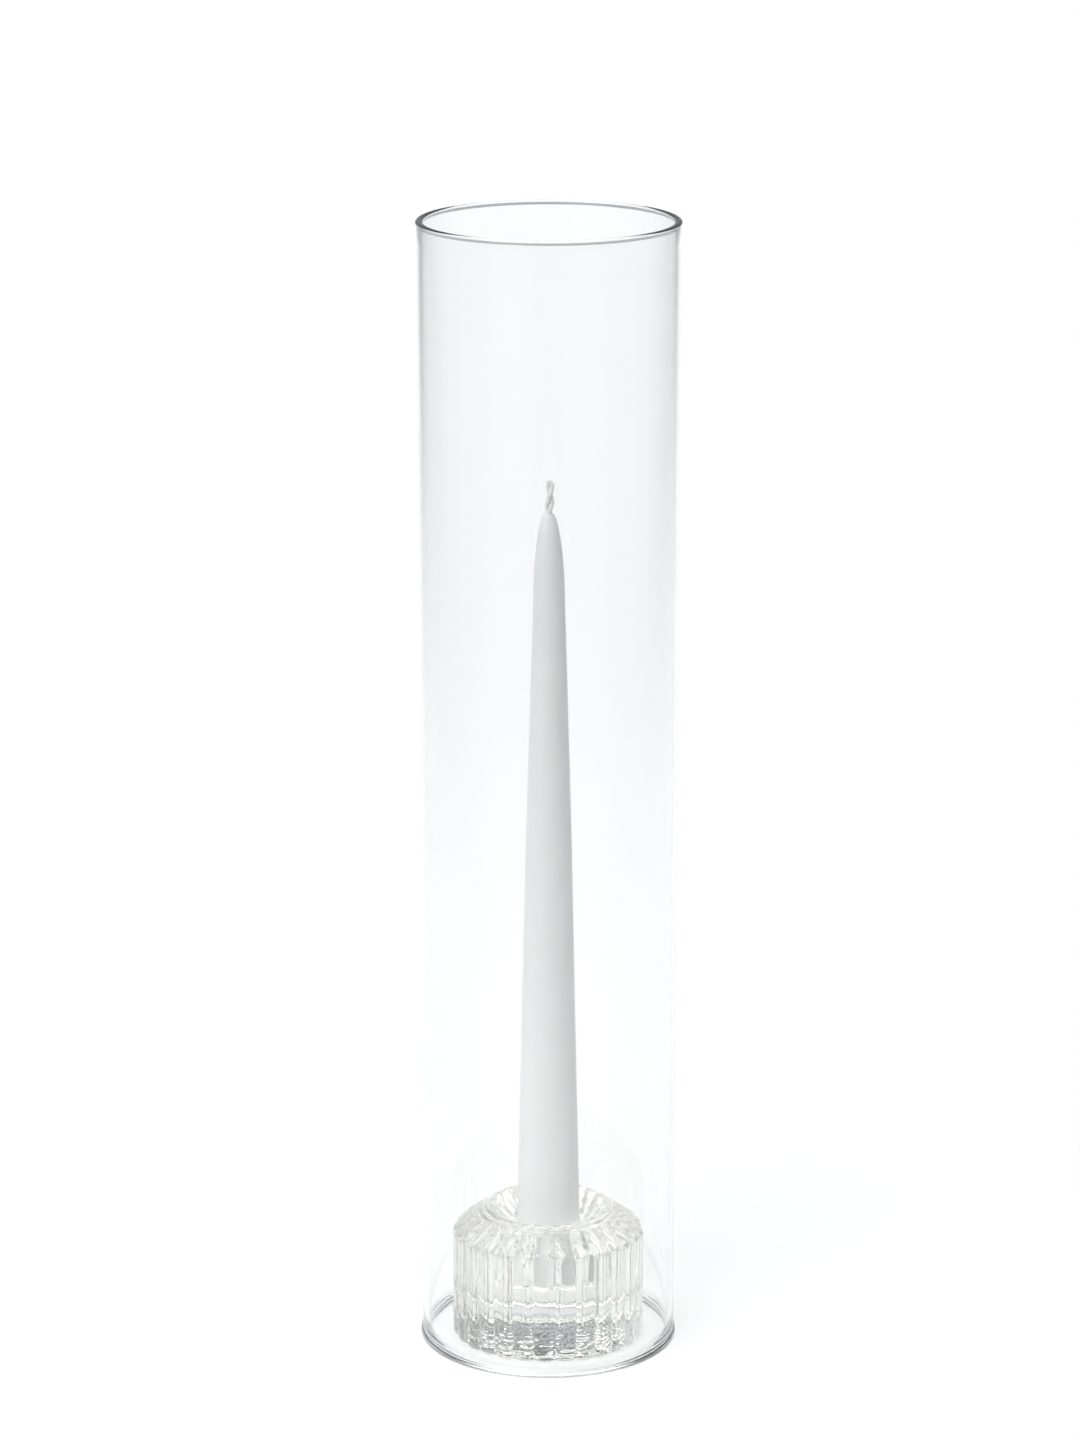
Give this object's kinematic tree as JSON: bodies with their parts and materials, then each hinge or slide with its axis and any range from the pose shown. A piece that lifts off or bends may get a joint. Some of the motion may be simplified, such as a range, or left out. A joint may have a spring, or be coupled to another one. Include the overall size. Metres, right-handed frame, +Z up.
{
  "type": "hurricane candle lantern",
  "caption": "Clear glass chimney, open at the top and the bottom, standing around a ribbed pressed-glass holder with a tall white taper candle.",
  "frame": {"origin": "on the table, at the centre of the foot, on the common axis of the chimney, the holder and the candle", "axes": "+Z up along that axis; one rib of the holder faces -Y"},
  "size_m": [0.1, 0.1, 0.44],
  "materials": {
    "chimney_glass": "clear blown glass, polished, faintly green where it is seen edge on",
    "holder_glass": "clear pressed glass, fire polished",
    "candle_wax": "cool white wax, satin and slightly translucent",
    "wick_cotton": "unburnt twisted cotton, stiff with wax"
  },
  "bodies": {
    "holder": {"candle_holder": "holder_glass"},
    "chimney": {"glass_chimney": "chimney_glass"},
    "candle": {"taper_wax": "candle_wax", "wick": "wick_cotton"}
  },
  "joints": [
    {"name": "chimney_lift", "type": "slide", "parent": "holder", "child": "chimney", "axis": [0, 0, 1], "range_m": [0, 0.36]},
    {"name": "candle_lift", "type": "slide", "parent": "holder", "child": "candle", "axis": [0, 0, 1], "range_m": [0, 0.43]}
  ]
}
